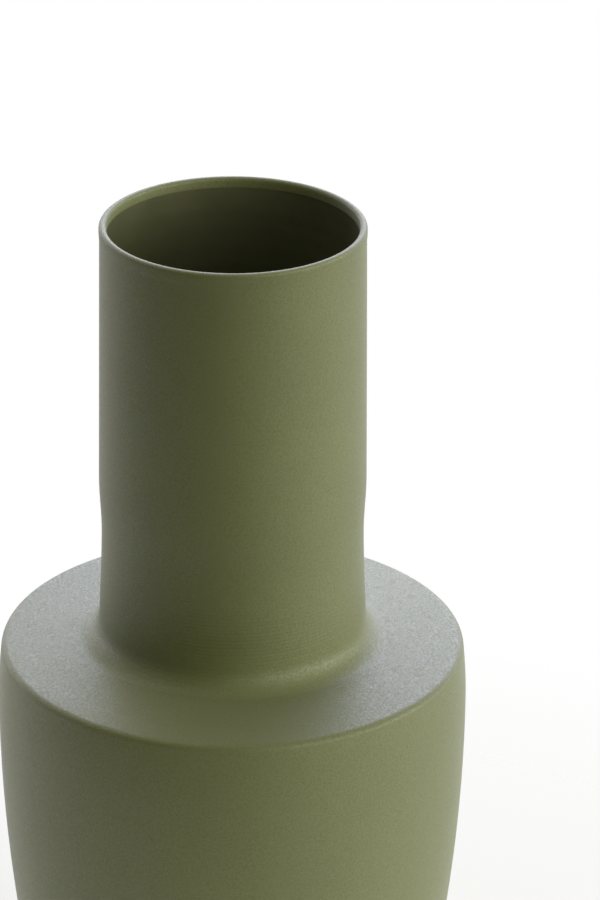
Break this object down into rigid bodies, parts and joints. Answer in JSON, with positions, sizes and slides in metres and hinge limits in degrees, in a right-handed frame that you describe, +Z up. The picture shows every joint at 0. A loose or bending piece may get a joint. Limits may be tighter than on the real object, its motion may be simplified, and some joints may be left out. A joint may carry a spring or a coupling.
{
  "type": "stoneware vase",
  "caption": "Tall stoneware vase with a tapering body, low sloping shoulder with a tight edge, and a long neck with a faint waist and rolled lip, in a matt olive coat.",
  "frame": {"origin": "centre of the resting face of the foot ring", "axes": "+Z up along the axis of turning; the vase is round, so X and Y are free"},
  "size_m": [0.22, 0.22, 0.46],
  "materials": {
    "bare_clay": "unglazed fired stoneware, fine sandy grain",
    "luting_slip": "fired joining slip, matt",
    "liner_glaze": "satin olive-brown liner glaze",
    "matt_olive_coat": "matt olive green coat with a fine sandy grain and a pale sheen at grazing angles"
  },
  "bodies": {
    "root": {"foot_ring": "bare_clay", "foot_slip": "luting_slip", "floor_slab": "bare_clay", "floor_slip": "luting_slip", "body_wall": "bare_clay", "body_slip": "luting_slip", "shoulder_section": "bare_clay", "neck_slip": "luting_slip", "neck_tube": "bare_clay", "rim_slip": "luting_slip", "rim_collar": "bare_clay", "inner_glaze": "liner_glaze", "outer_coat": "matt_olive_coat"}
  },
  "joints": []
}
